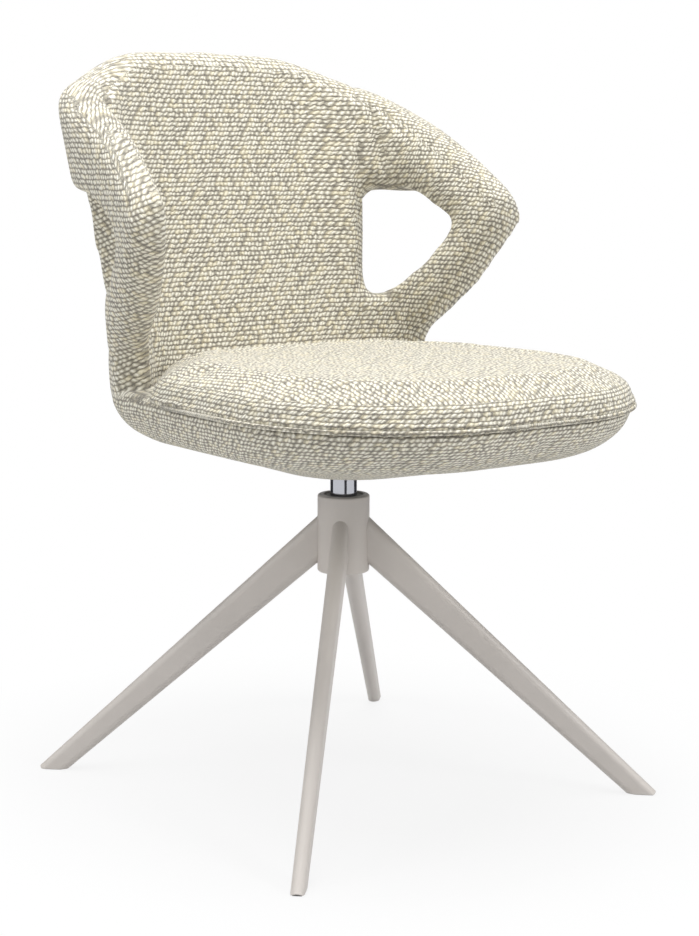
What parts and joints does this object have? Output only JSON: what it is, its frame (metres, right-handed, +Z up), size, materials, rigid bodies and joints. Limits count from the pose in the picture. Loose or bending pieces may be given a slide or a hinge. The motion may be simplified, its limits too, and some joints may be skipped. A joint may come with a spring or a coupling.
{
  "type": "swivel dining chair",
  "caption": "Upholstered dining chair with open triangular arms on a curved back, turning on a slim metal hub with splayed oval tube legs.",
  "frame": {"origin": "on the floor, under the middle of the chair's outline; the swivel axis is 13.5 mm behind it", "axes": "+Z up; the sitter faces -Y; +X is the sitter's left"},
  "size_m": [0.5532, 0.6505, 0.855],
  "materials": {
    "paint": "satin powder coat, warm light grey",
    "bearing_steel": "zinc plated",
    "cage_brass": "stamped",
    "bush_plastic": "moulded",
    "chrome": "polished",
    "black_steel": "black primer",
    "plywood": "raw birch plywood",
    "foam": "polyurethane foam",
    "boucle": "chunky woven boucle"
  },
  "bodies": {
    "base": {"hub_sleeve": "paint", "leg_1": "paint", "leg_2": "paint", "leg_3": "paint", "leg_4": "paint", "foot_glides": "bush_plastic", "lower_bush": "bush_plastic", "upper_bush": "bush_plastic", "lower_race": "bearing_steel", "ball_cage": "cage_brass", "bearing_balls": "bearing_steel"},
    "seat": {"upper_race": "bearing_steel", "retaining_washer": "bearing_steel", "circlip": "bearing_steel", "tee_nuts": "bearing_steel", "plate_bolts": "bearing_steel", "saddle_screws": "bearing_steel", "frame_saddles": "bush_plastic", "column": "chrome", "mounting_plate": "black_steel", "back_frame": "black_steel", "arm_frame_left": "black_steel", "arm_frame_right": "black_steel", "seat_board": "plywood", "mounting_block": "plywood", "bowl_foam": "foam", "seat_core_foam": "foam", "seat_pad_foam": "foam", "back_foam": "foam", "arm_left_foam": "foam", "arm_right_foam": "foam", "bowl_cover": "boucle", "seat_pad_cover": "boucle", "back_cover": "boucle", "arm_left_cover": "boucle", "arm_right_cover": "boucle", "seat_piping": "boucle"}
  },
  "joints": [
    {"name": "seat_swivel", "type": "hinge", "parent": "base", "child": "seat", "pos_m": [0, 0.0135, 0.3], "axis": [0, 0, 1], "continuous": true}
  ]
}
